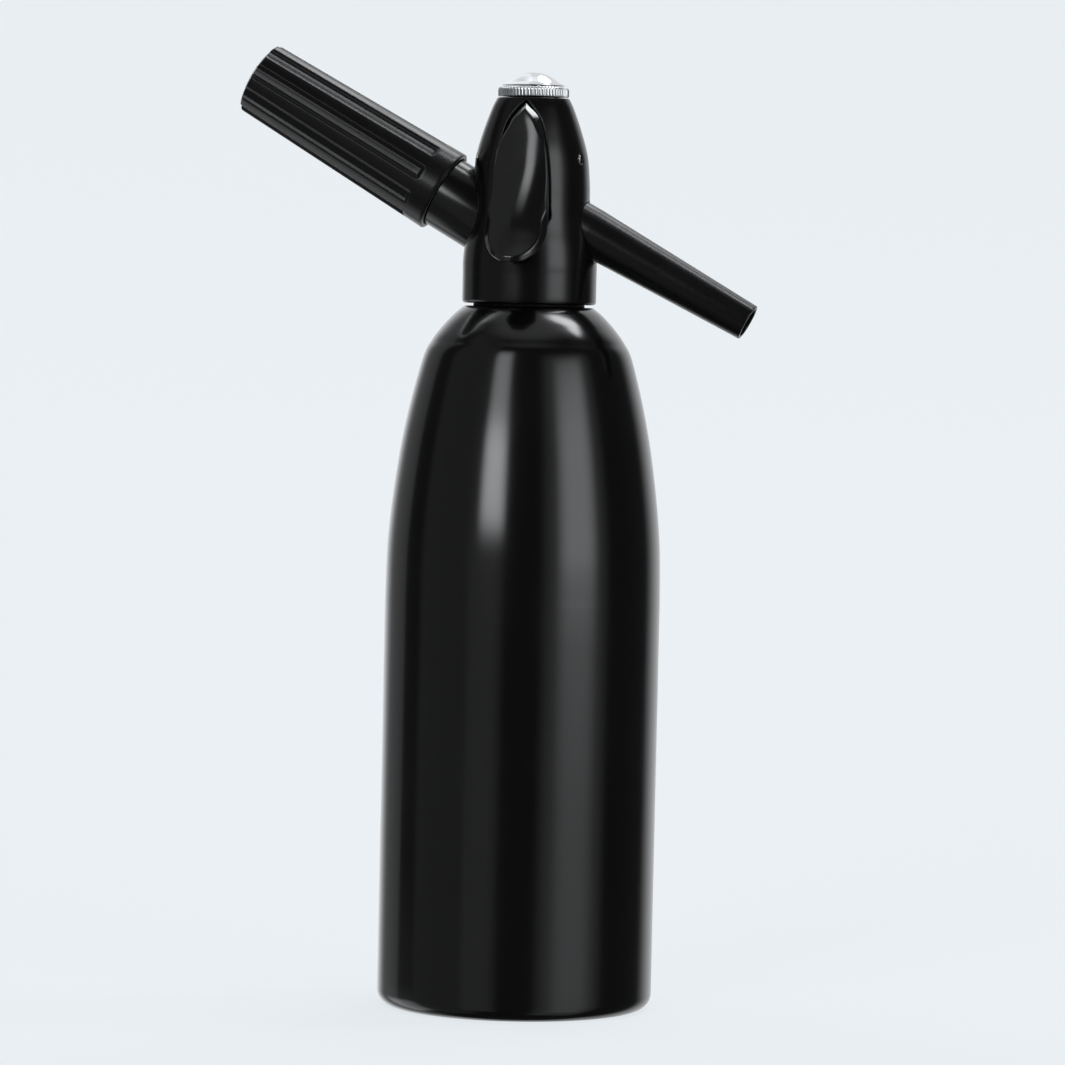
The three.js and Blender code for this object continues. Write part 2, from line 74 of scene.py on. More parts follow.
MM = 0.001
FIT = 0.3
NODES = frame["nodes"]
JOINTS = {joint["name"]: joint for joint in frame["joints"]}


# ---------- sizes taken from the frame ----------

def top_mm(node):
    """The upper corner of a CAD node's box."""
    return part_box(node)[1] / MM


def foot_mm(node):
    """The lower corner of a CAD node's box."""
    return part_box(node)[0] / MM


BOTTLE_R = top_mm("bottle_shell").x
NECK_TOP_Z = top_mm("bottle_shell").z
HEAD_FOOT_Z = foot_mm("head_shell").z
HEAD_TOP_Z = top_mm("head_shell").z
CAP_FOOT_Z = top_mm("cap_oring").z + FIT
DOME_TOP_Z = top_mm("cap_dome").z
PIN_HALF = top_mm("hinge_pin").x
PIN_Y, PIN_Z = (Vector(JOINTS["lever_press"]["pos_m"]) / MM)[1:3]

# ---------- other sizes ----------

# The spout and the holder: where each axis crosses the head's, its tilt, places along it, radii.
SPOUT_Z = 265
SPOUT_TILT = 28.5
SPOUT_TIP = 82.5
SPOUT_ROOT_R = 8
SPOUT_TIP_R = 6.05
HOLDER_Z = 249.5
HOLDER_TILT = 30.2
SOCKET_R = 12.05
SOCKET_THREAD_R = 10.7
SOCKET_END = 45.8
SLEEVE_RIM = 33.6
SLEEVE_END = 106.2
SLEEVE_FLOOR = 103.6
SLEEVE_RIM_R = 13.9
SLEEVE_END_R = 12.3
END_ROUND = 1.2

# The flutes: the slope reaches FLUTE_LIP outside the outline and FLUTE_WALL inside it.
FLUTES = 9
FLUTE_HALF = 2.65
FLUTE_CORNER = 1.2
FLUTE_DEPTH = 1.1
FLUTE_START = 40.4
FLUTE_TURN = 9.6
FLUTE_LIP = 0.15
FLUTE_WALL = 1.5

CAP_R = 11.6
CAP_RING_H = 3.3
CAP_TEETH = 60
LEVER_GAP = 0.15
PRESS_DEG = 9
PIN_R = 1.3
PIN_BORE_R = 1.6

# Threads: how deep the root is sunk, the share of the length that fades in or out, steps a turn.
THREAD_ROOT = 0.25
THREAD_FADE = 0.12
THREAD_STEPS = 64

SPOUT_AXIS = Matrix.Translation((0, 0, SPOUT_Z * MM)) @ Matrix.Rotation(
    math.radians(90 + SPOUT_TILT), 4, "Y")
HOLDER_AXIS = Matrix.Translation((0, 0, HOLDER_Z * MM)) @ Matrix.Rotation(
    math.radians(HOLDER_TILT - 90), 4, "Y")


# ---------- curves and outlines ----------

def spline(points, steps):
    """Points of a Catmull-Rom curve through the given points."""
    made = []
    last = len(points) - 1
    for i in range(steps + 1):
        place = last * i / steps
        k = min(int(place), last - 1)
        w = place - k
        p0, p1 = Vector(points[max(k - 1, 0)]), Vector(points[k])
        p2, p3 = Vector(points[k + 1]), Vector(points[min(k + 2, last)])
        a = 2 * p1
        b = (p2 - p0) * w
        c = (2 * p0 - 5 * p1 + 4 * p2 - p3) * w * w
        d = (3 * p1 - p0 - 3 * p2 + p3) * w * w * w
        made.append((a + b + c + d) / 2)
    return made


def eased(points, radius, steps=5):
    """An open outline with each inner corner rounded to about the given radius."""
    points = [Vector(p) for p in points]
    made = [points[0]]
    for before, corner, after in zip(points, points[1:], points[2:]):
        cut_in = min(radius, (corner - before).length * 0.45)
        cut_out = min(radius, (after - corner).length * 0.45)
        p = corner + (before - corner).normalized() * cut_in
        q = corner + (after - corner).normalized() * cut_out
        for i in range(steps + 1):
            w = i / steps
            made.append(p * (1 - w) ** 2 + corner * 2 * w * (1 - w) + q * w * w)
    made.append(points[-1])
    return made


def arc(cx, cy, radius, start, end, steps):
    """Points of a circle's arc between two angles in degrees."""
    made = []
    for i in range(steps + 1):
        a = math.radians(start + (end - start) * i / steps)
        made.append(Vector((cx + radius * math.cos(a), cy + radius * math.sin(a))))
    return made


def smoothstep(low, high, value):
    """0 below the low value, 1 above the high one, with a smooth rise between."""
    w = min(max((value - low) / (high - low), 0), 1)
    return w * w * (3 - 2 * w)


def height_at(line, z):
    """The Y value where a line of (y, z) points, listed from the top down, passes the height z."""
    for a, b in zip(line, line[1:]):
        if b[1] <= z:
            w = (a[1] - z) / (a[1] - b[1])
            return a[0] + (b[0] - a[0]) * w
    return line[-1][0]


# ---------- meshes ----------

def new_object(name, bm, material, sharp=38, matrix=None):
    """A smooth-shaded object; edges turning more than the sharp angle stay crisp."""
    bmesh.ops.remove_doubles(bm, verts=bm.verts, dist=2e-6)
    bmesh.ops.recalc_face_normals(bm, faces=bm.faces)
    mesh = bpy.data.meshes.new(name)
    bm.to_mesh(mesh)
    bm.free()
    mesh.shade_smooth()
    mesh.set_sharp_from_angle(angle=math.radians(sharp))
    obj = bpy.data.objects.new(name, mesh)
    bpy.context.scene.collection.objects.link(obj)
    if material:
        mesh.materials.append(material)
    if matrix:
        obj.matrix_world = matrix
    return obj


def grid(rows, wrap_rows=False, wrap_columns=True, bm=None):
    """Quads between rows of points in millimetres."""
    bm = bm or bmesh.new()
    made = [[bm.verts.new(Vector(p) * MM) for p in row] for row in rows]
    pairs = list(zip(made, made[1:]))
    if wrap_rows:
        pairs.append((made[-1], made[0]))
    for a, b in pairs:
        count = len(a)
        for j in range(count if wrap_columns else count - 1):
            k = (j + 1) % count
            bm.faces.new((a[j], a[k], b[k], b[j]))
    return bm


def turned(profile, segments=128):
    """Rows of a (radius, height) profile turned about Z."""
    angles = [2 * math.pi * j / segments for j in range(segments)]
    return [[(r * math.cos(a), r * math.sin(a), z) for a in angles] for r, z in profile]


def lathe(name, profile, material, closed=False, segments=128, matrix=None, sharp=38):
    """An object turned from a (radius, height) profile."""
    bm = grid(turned(profile, segments), wrap_rows=closed)
    return new_object(name, bm, material, sharp, matrix)


def hoop(name, r_in, r_out, z0, z1, material, round_off=0.25, matrix=None, segments=96):
    """A ring of rectangular section with eased corners."""
    mid = (r_in + r_out) / 2
    loop = [(mid, z0), (r_out, z0), (r_out, z1), (r_in, z1), (r_in, z0), (mid, z0)]
    profile = eased(loop, round_off, 4)[:-1]
    return lathe(name, profile, material, True, segments, matrix)


def thread_rows(radius, height, pitch, start, turns):
    """Rows of a rounded thread that rises from nothing at both ends."""
    steps = int(turns * THREAD_STEPS)
    rows = []
    for i in range(steps + 1):
        a = 2 * math.pi * turns * i / steps
        rise = height * smoothstep(0, THREAD_FADE, i / steps) * smoothstep(0, THREAD_FADE, 1 - i / steps)
        z = start + pitch * turns * i / steps
        root = radius - THREAD_ROOT
        section = [(root, -0.34), (radius, -0.3), (radius + rise, -0.1), (radius + rise, 0.1),
                   (radius, 0.3), (root, 0.34)]
        rows.append([(r * math.cos(a), r * math.sin(a), z + h * pitch) for r, h in section])
    return rows


def thread(name, material, matrix=None, **sizes):
    """A thread ridge closed at both ends."""
    bm = grid(thread_rows(**sizes))
    bmesh.ops.holes_fill(bm, edges=[e for e in bm.edges if e.is_boundary], sides=8)
    return new_object(name, bm, material, 50, matrix)


def stand_in(obj, *nodes, slot):
    """obj stands for the CAD nodes and moves with their body."""
    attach(obj, body_of(NODES[nodes[0]])[0])
    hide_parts(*nodes)
    return obj


def beside(obj, node):
    """An added detail that moves with the body of a CAD node."""
    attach(obj, body_of(NODES[node])[0])
    return obj


# ---------- materials ----------

def finish(name, colour, rough, metal=0.0, tint=None, blotch=18.0, grain=1500.0, depth=0.00001,
           strength=0.2, stretch=(1, 1, 1), edge=0.0, **sockets):
    """A node material: soft blotches in colour and roughness, a fine grain, rounded edges."""
    material = bpy.data.materials.new(name)
    material.use_nodes = True
    tree = material.node_tree
    shader = tree.nodes["Principled BSDF"]
    shader.inputs["Metallic"].default_value = metal
    for socket, value in sockets.items():
        shader.inputs[socket.replace("_", " ")].default_value = value

    where = tree.nodes.new("ShaderNodeTexCoord")
    mapping = tree.nodes.new("ShaderNodeMapping")
    mapping.inputs["Scale"].default_value = stretch
    tree.links.new(where.outputs["Object"], mapping.inputs["Vector"])

    def noise(scale, detail):
        node = tree.nodes.new("ShaderNodeTexNoise")
        node.inputs["Scale"].default_value = scale
        node.inputs["Detail"].default_value = detail
        tree.links.new(mapping.outputs["Vector"], node.inputs["Vector"])
        return node.outputs["Fac"]

    clouds = noise(blotch, 4)
    fine = noise(grain, 3)

    mix = tree.nodes.new("ShaderNodeMix")
    mix.data_type = "RGBA"
    mix.inputs["A"].default_value = (*colour, 1)
    mix.inputs["B"].default_value = (*(tint or [c * 1.35 for c in colour]), 1)
    tree.links.new(clouds, mix.inputs["Factor"])
    tree.links.new(mix.outputs["Result"], shader.inputs["Base Color"])

    spread = tree.nodes.new("ShaderNodeMapRange")
    spread.inputs["From Min"].default_value = 0.3
    spread.inputs["From Max"].default_value = 0.7
    spread.inputs["To Min"].default_value = rough[0]
    spread.inputs["To Max"].default_value = rough[1]
    tree.links.new(clouds, spread.inputs["Value"])
    tree.links.new(spread.outputs["Result"], shader.inputs["Roughness"])

    bump = tree.nodes.new("ShaderNodeBump")
    bump.inputs["Strength"].default_value = strength
    bump.inputs["Distance"].default_value = depth
    tree.links.new(fine, bump.inputs["Height"])
    tree.links.new(bump.outputs["Normal"], shader.inputs["Normal"])
    if edge:
        bevel = tree.nodes.new("ShaderNodeBevel")
        bevel.samples = 6
        bevel.inputs["Radius"].default_value = edge
        tree.links.new(bevel.outputs["Normal"], bump.inputs["Normal"])
    return material


LACQUER = finish("black_lacquer", (0.0024, 0.0024, 0.0026), (0.13, 0.19), blotch=25, grain=420,
                 depth=0.00004, strength=0.06, Coat_Weight=0.3, Coat_Roughness=0.06)
GLOSS = finish("gloss_black_plastic", (0.0034, 0.0033, 0.0035), (0.15, 0.21), blotch=60, grain=1400,
               depth=0.00002, strength=0.05, edge=0.0008)
LEVER_GLOSS = finish("gloss_black_lever", (0.0034, 0.0033, 0.0035), (0.12, 0.17), blotch=60,
                     grain=1400, depth=0.00002, strength=0.05, edge=0.0004, Coat_Weight=0.5,
                     Coat_Roughness=0.1, IOR=1.65)
SATIN = finish("satin_black_plastic", (0.004, 0.004, 0.0044), (0.22, 0.3), blotch=90, grain=2600,
               depth=0.00003, strength=0.16, IOR=1.38, Sheen_Weight=0.6, Sheen_Roughness=0.3)
RUBBER = finish("black_rubber", (0.006, 0.006, 0.006), (0.6, 0.8), blotch=200, grain=3500,
                depth=0.00005, strength=0.4)
PALE_RUBBER = finish("pale_rubber", (0.55, 0.53, 0.48), (0.5, 0.68), blotch=140, grain=3000,
                     depth=0.00004, strength=0.3, tint=(0.62, 0.6, 0.55))
NYLON = finish("pale_nylon", (0.72, 0.71, 0.66), (0.32, 0.45), blotch=110, grain=1800, depth=0.00003,
               strength=0.25, tint=(0.8, 0.79, 0.75), Subsurface_Weight=0.15)
BRASS = finish("turned_brass", (0.62, 0.42, 0.14), (0.22, 0.36), 1.0, blotch=80, grain=2500,
               depth=0.00003, strength=0.3, stretch=(0.15, 0.15, 1), tint=(0.7, 0.5, 0.19))
STEEL = finish("stainless_steel", (0.55, 0.55, 0.56), (0.16, 0.3), 1.0, blotch=90, grain=2800,
               depth=0.00002, strength=0.25, stretch=(0.12, 0.12, 1), tint=(0.64, 0.64, 0.65))
CHARGER_STEEL = finish("drawn_steel", (0.5, 0.5, 0.51), (0.2, 0.34), 1.0, blotch=70, grain=2200,
                       depth=0.00004, strength=0.3, stretch=(0.1, 0.1, 1), tint=(0.6, 0.6, 0.6))
CHROME = finish("polished_chrome", (0.78, 0.79, 0.8), (0.04, 0.1), 1.0, blotch=130, grain=2000,
                depth=0.00002, strength=0.06, tint=(0.84, 0.85, 0.86))


# ---------- bottle ----------

SHELF_R = 21
SHELF_Z = 229.3
NECK_R = 16.8
NECK_RING_R = 18.2
MOUTH_R = 14
WALL = 1.6
NECK_ROUND = 0.5
FOOT_ROUND = 0.4
BASE_ROUND = 5
RECESS_R = 34
RECESS = 1
SHOULDER = [(BOTTLE_R, 133), (44.5, 152.5), (42.5, 172.2), (39.3, 191.8), (34.5, 211.4), (31.5, 217.9),
            (27.7, 223), (24, 226.9), (SHELF_R, SHELF_Z)]


def inwards(line, distance):
    """A line of (r, z) points moved towards the axis along its normal."""
    moved = []
    for i, p in enumerate(line):
        along = (line[min(i + 1, len(line) - 1)] - line[max(i - 1, 0)]).normalized()
        moved.append(Vector((p.x - along.y * distance, p.y + along.x * distance)))
    return moved


def bottle():
    """Outside from the base up over the neck, then the inside down to the base again."""
    outside = spline(SHOULDER, 90)
    cylinder = [Vector((BOTTLE_R, z)) for z in range(10, 130, 10)]
    neck = eased([(SHELF_R, SHELF_Z), (NECK_R, SHELF_Z), (NECK_R, NECK_TOP_Z), (MOUTH_R, NECK_TOP_Z),
                  (MOUTH_R, SHELF_Z - WALL)], NECK_ROUND)
    foot = eased([(0, RECESS), (RECESS_R - 1, RECESS), (RECESS_R, 0), (BOTTLE_R - BASE_ROUND, 0)],
                 FOOT_ROUND)
    inner_round = BASE_ROUND - WALL
    inner_r = BOTTLE_R - WALL
    profile = [
        *foot,
        *arc(BOTTLE_R - BASE_ROUND, BASE_ROUND, BASE_ROUND, -87, 0, 14),
        *cylinder,
        *outside[:-1],
        *neck,
        *reversed(inwards(outside, WALL)[:-2]),
        *arc(inner_r - inner_round, RECESS + WALL + inner_round, inner_round, 0, -90, 8),
        Vector((0, RECESS + WALL)),
    ]
    return lathe("bottle", profile, LACQUER, segments=192)


stand_in(bottle(), "bottle_shell", slot="lacquered_bottle")
beside(thread("bottle_thread", LACQUER, radius=NECK_R, height=0.9, pitch=3, start=231.9, turns=1.6),
       "bottle_shell")
stand_in(hoop("neck_ring", NECK_R + 0.2, NECK_RING_R, SHELF_Z + 0.04, HEAD_FOOT_Z - 0.05, RUBBER, 0.2),
         "neck_ring", slot="black_rubber")


# ---------- lever ----------

LEVER_FRONT = spline([(-13.2, 296.4), (-16.2, 290), (-18.5, 282), (-20.8, 273), (-23.5, 265), (-27, 257),
                      (-31, 250), (-35.4, 243)], 60)
LEVER_BACK = spline([(-9.9, 296.4), (-11.7, 290), (-13.6, 282), (-15.8, 272), (-17.8, 264),
                     (-22.6, 257), (-27.4, 250), (-32.2, 243)], 60)
LEVER_OUTLINE = [(0, 296.2), (3, 292.9), (5.3, 289.7), (6.9, 285), (8.3, 278), (9.1, 270),
                 (9.3, 264), (9.8, 259.5), (10.1, 255.5), (9.8, 250.5), (7.4, 246.3), (4, 243.9), (0, 243.3)]
# The face: an even crown at the lip; above it a ridge right of centre and a flatter left side.
CROWN_R = 22
RIDGE = 3.9
RIDGE_START_Z = 252
RIDGE_FULL_Z = 278
RIDGE_FADE_Z = 284
TIP_Z = 296
RIDGE_FADE = 0.7
KNEE = 2.9
KNEE_BEND = 0.03
SIDE_BEND = 0.0027

# The bevel: as wide as this round the tip, a little narrower round the lip, none between them.
LEVER_BEVEL = 2.1
BEVEL_SLOPE = 0.95
BEVEL_SOFT = 0.25
TIP_BEVEL_START_Z = 279
TIP_BEVEL_FULL_Z = 289
LIP_BEVEL_START_Z = 262
LIP_BEVEL_FULL_Z = 256
LIP_BEVEL_SHARE = 0.85
LEVER_ROUND = 0.35


def grown(half, by):
    """A half outline moved outwards; its two ends stay on the centre line."""
    made = []
    for i, p in enumerate(half):
        along = (half[min(i + 1, len(half) - 1)] - half[max(i - 1, 0)]).normalized()
        made.append(Vector((max(p.x - along.y * by, 0), p.y + along.x * by)))
    made[0] = Vector((0, half[0].y + by))
    made[-1] = Vector((0, half[-1].y - by))
    return made


def edge_distance(x, z, half):
    """How far a point inside a half outline is from it."""
    p = Vector((abs(x), z))
    best = 1e9
    for a, b in zip(half, half[1:]):
        along = b - a
        w = min(max((p - a).dot(along) / along.length_squared, 0), 1)
        best = min(best, (a + along * w - p).length)
    return best


def crown(x, z):
    """Depth across the face. Above the lip its ridge lies to the right, with a flatter left side."""
    fade = RIDGE_FADE * smoothstep(RIDGE_FADE_Z, TIP_Z, z)
    share = smoothstep(RIDGE_START_Z, RIDGE_FULL_Z, z) * (1 - fade)
    across = x - RIDGE * share
    even = across * across / (2 * CROWN_R)
    if across > 0:
        return even
    near = min(-across, KNEE)
    far = -across - near
    flat_side = KNEE_BEND * near * near + (2 * KNEE_BEND * KNEE + SIDE_BEND * far) * far
    return even * (1 - share) + flat_side * share


def lever_front(x, z, half):
    """The lever's face: crowned across, with a bevel at its tip and lip and a thin rounded edge."""
    d = edge_distance(x, z, half)
    tip_share = smoothstep(TIP_BEVEL_START_Z, TIP_BEVEL_FULL_Z, z)
    lip_share = LIP_BEVEL_SHARE * smoothstep(-LIP_BEVEL_START_Z, -LIP_BEVEL_FULL_Z, -z)
    inset = max(LEVER_BEVEL * (tip_share + lip_share) - d, 0)
    eased_in = inset * inset / (2 * BEVEL_SOFT)
    bevel = BEVEL_SLOPE * (eased_in if inset < BEVEL_SOFT else inset - BEVEL_SOFT / 2)
    round_off = max(LEVER_ROUND - d, 0)
    rim = LEVER_ROUND - math.sqrt(max(LEVER_ROUND ** 2 - round_off ** 2, 0))
    return height_at(LEVER_FRONT, z) + crown(x, z) + bevel + rim


def shield(half, columns, front, back):
    """A closed block inside a symmetric outline, between two surfaces y = f(x, z)."""
    bm = bmesh.new()
    # Columns crowd towards both sides, where the edge is rounded.
    across = [math.sin(math.pi / 2 * math.sin(math.pi / 2 * (2 * j / columns - 1)))
              for j in range(columns + 1)]
    faces = []
    for surface in (front, back):
        rows = [[(u * p.x, surface(u * p.x, p.y), p.y) for u in across] for p in half]
        faces.append(rows)
        grid(rows, wrap_columns=False, bm=bm)
    for side in (0, -1):
        edge = [[rows[side] for rows in surface] for surface in faces]
        grid(edge, wrap_columns=False, bm=bm)
    return bm


def lever_body():
    """The pointed shield with its crowned and bevelled face."""
    half = spline(LEVER_OUTLINE, 120)
    bm = shield(half, 56, lambda x, z: lever_front(x, z, half), lambda x, z: height_at(LEVER_BACK, z))
    return new_object("lever", bm, LEVER_GLOSS, 50)


def block(bm, size, centre):
    """A box added to a mesh."""
    made = bmesh.ops.create_cube(bm, size=1)["verts"]
    for v in made:
        v.co = Vector([(v.co[k] * size[k] + centre[k]) * MM for k in range(3)])


def lever_arm():
    """The hub on the hinge pin, the web behind the face and the two prongs that lift the stem."""
    bm = bmesh.new()
    half = 5.5
    inner = 2.5
    hub_r = 2.6
    fork_r = 1.9
    web_depth = 8.6
    web_y = PIN_Y - 6
    prong_y = 2
    prong_end = 1.5
    hub = turned([(PIN_BORE_R, 0), (PIN_BORE_R, -half), (hub_r, -half), (hub_r, half),
                  (PIN_BORE_R, half)], 48)
    turned_hub = [[(z, x + PIN_Y, y + PIN_Z) for x, y, z in row] for row in hub]
    grid(turned_hub, wrap_rows=True, bm=bm)
    block(bm, (2 * half, web_depth, 2 * hub_r), (0, web_y, PIN_Z))
    for side in (-1, 1):
        x = side * (half + inner) / 2
        block(bm, (half - inner, -PIN_Y - prong_y, 2 * fork_r), (x, (PIN_Y + prong_y) / 2, PIN_Z))
        prong = turned([(0, -prong_end), (fork_r, -prong_end), (fork_r, prong_end), (0, prong_end)], 32)
        grid([[(z + x, px, py + PIN_Z) for px, py, z in row] for row in prong], bm=bm)
    return new_object("lever_arm", bm, GLOSS, 40)


# ---------- head ----------

HEAD_R = 21.9
HEAD_BORE_R = 18.2
HEAD_FOOT_ROUND = 1
HEAD_CURVE = [(HEAD_R, 240), (HEAD_R, 244), (21.4, 249.5), (20.3, 255), (19.3, 262), (19.1, 269),
              (18.3, 278.2), (16.2, 286.1), (13.4, 293.9), (11.8, HEAD_TOP_Z)]


def head():
    """Outside from the foot up, then the cap's well, the valve's bore and the room for the neck."""
    seat = 245.5
    core_r = 7.2
    core_top = 272.8
    ledge_r = 10.4
    ledge_z = HEAD_TOP_Z - 0.7
    well_r = 8.2
    well_z = 288.6
    valve_r = 6.4
    foot_r = HEAD_R - HEAD_FOOT_ROUND
    hollow = eased([
        (ledge_r, HEAD_TOP_Z), (ledge_r, ledge_z), (well_r, ledge_z), (well_r, well_z),
        (valve_r, well_z), (valve_r, core_top), (core_r, core_top - 0.5), (core_r, seat),
        (HEAD_BORE_R, seat), (HEAD_BORE_R, HEAD_FOOT_Z), (foot_r, HEAD_FOOT_Z),
    ], 0.25, 3)
    profile = [
        *arc(foot_r, HEAD_FOOT_Z + HEAD_FOOT_ROUND, HEAD_FOOT_ROUND, -80, 0, 8),
        *[Vector((HEAD_R, HEAD_FOOT_Z + h)) for h in (2.5, 4, 5.5, 7, 8.5)],
        *spline(HEAD_CURVE, 100),
        *hollow,
    ]
    return lathe("head", profile, GLOSS, closed=True, segments=224, sharp=32)


def bar_cutter(radius, start, end, matrix, segments=96):
    """A round bar along an axis, from start to end."""
    profile = [(0, start), (radius, start), (radius, end), (0, end)]
    return lathe("cutter", profile, None, segments=segments, matrix=matrix)


def lever_room(angle):
    """The space the lever fills at one angle, open to the front."""
    behind = 0.45
    open_y = -60
    half = grown(spline(LEVER_OUTLINE, 90), LEVER_GAP)
    bm = shield(half, 8, lambda x, z: open_y, lambda x, z: height_at(LEVER_BACK, z) + behind)
    room = new_object("cutter", bm, None)
    pin = Matrix.Translation((0, PIN_Y * MM, PIN_Z * MM))
    room.matrix_world = pin @ Matrix.Rotation(math.radians(angle), 4, "X") @ pin.inverted()
    return room


def slot_cutter():
    """The room for the lever's hub, web and fork."""
    room = (11.9, 20.6, 9)
    room_y = -7.7
    drop = 0.9
    bm = bmesh.new()
    block(bm, room, (0, room_y, PIN_Z - drop))
    return new_object("cutter", bm, None)


def cut(obj, cutters):
    """Takes each cutter out of the mesh and removes the cutter."""
    for cutter in cutters:
        modifier = obj.modifiers.new("cut", "BOOLEAN")
        modifier.operation = "DIFFERENCE"
        modifier.solver = "MANIFOLD"
        modifier.object = cutter
        bpy.context.view_layer.update()
        graph = bpy.context.evaluated_depsgraph_get()
        mesh = bpy.data.meshes.new_from_object(obj.evaluated_get(graph))
        obj.modifiers.clear()
        obj.data = mesh
        bpy.data.objects.remove(cutter)
    obj.data.shade_smooth()
    obj.data.set_sharp_from_angle(angle=math.radians(32))
    return obj


ACROSS = Matrix.Translation((0, PIN_Y * MM, PIN_Z * MM)) @ Matrix.Rotation(math.radians(90), 4, "Y")
# Bores for the pin, the spout and the socket, then room for the lever's arm and for its swing.
head_piece = cut(head(), [
    bar_cutter(PIN_BORE_R, -25, 25, ACROSS, 48),
    bar_cutter(6.4, 5, 16, SPOUT_AXIS),
    bar_cutter(SPOUT_ROOT_R + FIT, 15, 60, SPOUT_AXIS),
    bar_cutter(4.3, 7, 18, HOLDER_AXIS),
    bar_cutter(SOCKET_R + FIT, 16.1, 60, HOLDER_AXIS),
    slot_cutter(),
    *[lever_room(PRESS_DEG * share) for share in (0, 0.5, 1)],
])
stand_in(head_piece, "head_shell", slot="gloss_black")
stand_in(lever_body(), "lever", slot="gloss_black")
beside(lever_arm(), "lever")

pin_profile = eased([(0, -PIN_HALF), (PIN_R, -PIN_HALF), (PIN_R, PIN_HALF), (0, PIN_HALF)], 0.3)
stand_in(lathe("hinge_pin", pin_profile, STEEL, segments=48, matrix=ACROSS), "hinge_pin", slot="steel")


# ---------- cap ----------

def cap_ring():
    """A knurled ring: rounded teeth whose upper corners are turned away to a slope."""
    tooth_depth = 0.55
    teeth_steps = 10
    count = CAP_TEETH * teeth_steps
    top = CAP_FOOT_Z + CAP_RING_H
    # (height above the foot, how far the turned surface stands inside the full radius)
    levels = [(0, 0.35), (0.12, 0.1), (0.35, 0), (0.8, 0), (1.4, 0), (2.0, 0), (2.4, 0.02), (2.7, 0.1),
              (2.95, 0.3), (3.15, 0.6), (CAP_RING_H, 1.0)]
    rows = []
    for rise, slope in levels:
        row = []
        for j in range(count):
            a = 2 * math.pi * j / count
            wave = abs(math.sin(CAP_TEETH * a / 2))
            row.append((a, min(CAP_R - tooth_depth * (1 - wave ** 0.7), CAP_R - slope)))
        rows.append([(r * math.cos(a), r * math.sin(a), CAP_FOOT_Z + rise) for a, r in row])
    inside = eased([(CAP_R - 1.6, top), (4.3, top), (4.3, 298.2), (5.3, 298), (5.3, 289.2),
                    (7.6, 289.2), (7.6, CAP_FOOT_Z), (CAP_R - 0.8, CAP_FOOT_Z)], 0.25)
    rows.extend(turned(inside, count))
    return new_object("cap_ring", grid(rows, wrap_rows=True), CHROME, 45)


def cap_dome():
    """The low dome with the short stem under it."""
    foot = CAP_FOOT_Z + CAP_RING_H + FIT
    rim = 10.4
    flank = spline([(rim, foot + 0.2), (8.8, foot + 1.05), (7.1, foot + 2.2), (5.3, foot + 3.3),
                    (3, foot + 4.2), (0, DOME_TOP_Z)], 40)
    stem = eased([(0, 298.6), (4, 298.6), (4, foot), (rim, foot), (rim, foot + 0.2)], 0.1)
    return lathe("cap_dome", [*stem[:-1], *flank], CHROME, sharp=60)


stand_in(cap_ring(), "cap_ring", slot="chrome")
stand_in(cap_dome(), "cap_dome", slot="chrome")
stand_in(hoop("cap_oring", 8.6, 10.1, HEAD_TOP_Z - 0.4, HEAD_TOP_Z + 0.1, RUBBER, 0.24), "cap_oring",
         slot="black_rubber")


# ---------- spout ----------

def spout():
    """Starts half-way along the bore, goes round the spigot and the outside and back in at the tip."""
    bore_r = 3.2
    mouth_r = 4.9
    spigot_r = 5
    spigot_start = 11.2
    root = 15.3
    half_way = 36
    profile = eased([
        (bore_r, half_way), (bore_r, spigot_start), (spigot_r, spigot_start), (spigot_r, root),
        (SPOUT_ROOT_R, root), (SPOUT_ROOT_R, 23), (SPOUT_TIP_R, SPOUT_TIP), (mouth_r, SPOUT_TIP),
        (mouth_r, 62), (bore_r, 60), (bore_r, half_way),
    ], 0.45)
    return lathe("spout", profile[:-1], SATIN, closed=True, matrix=SPOUT_AXIS)


stand_in(spout(), "spout", slot="satin_black")
stand_in(hoop("spout_insert", 2.4, 4.6, 62.4, 66, SATIN, 0.3, SPOUT_AXIS), "spout_insert",
         slot="satin_black")
stand_in(hoop("spout_oring", 5.3, 6.1, 12.4, 13.8, RUBBER, 0.35, SPOUT_AXIS), "spout_oring",
         slot="black_rubber")


# ---------- charger socket, charger and holder ----------

def charger_socket():
    """Starts in the insert's well, goes down the gas passage, out over the stub and back inside."""
    well_r = 6.4
    well_mid = 26
    well_floor = 22.6
    passage_r = 1.3
    spigot_r = 4
    spigot_start = 11
    root = 16.4
    stub_end = 34.8
    room_r = 9.6
    room_floor = 31.2
    profile = eased([
        (well_r, well_mid), (well_r, well_floor), (passage_r, well_floor), (passage_r, spigot_start),
        (spigot_r, spigot_start), (spigot_r, root), (SOCKET_R, root), (SOCKET_R, stub_end),
        (SOCKET_THREAD_R, stub_end), (SOCKET_THREAD_R, SOCKET_END), (room_r, SOCKET_END),
        (room_r, room_floor), (well_r, room_floor), (well_r, well_mid),
    ], 0.35)
    return lathe("charger_socket", profile[:-1], GLOSS, closed=True, matrix=HOLDER_AXIS)


stand_in(charger_socket(), "charger_socket", slot="gloss_black")
beside(thread("socket_thread", GLOSS, HOLDER_AXIS, radius=SOCKET_THREAD_R, height=0.42, pitch=1.5,
              start=37.6, turns=3), "charger_socket")


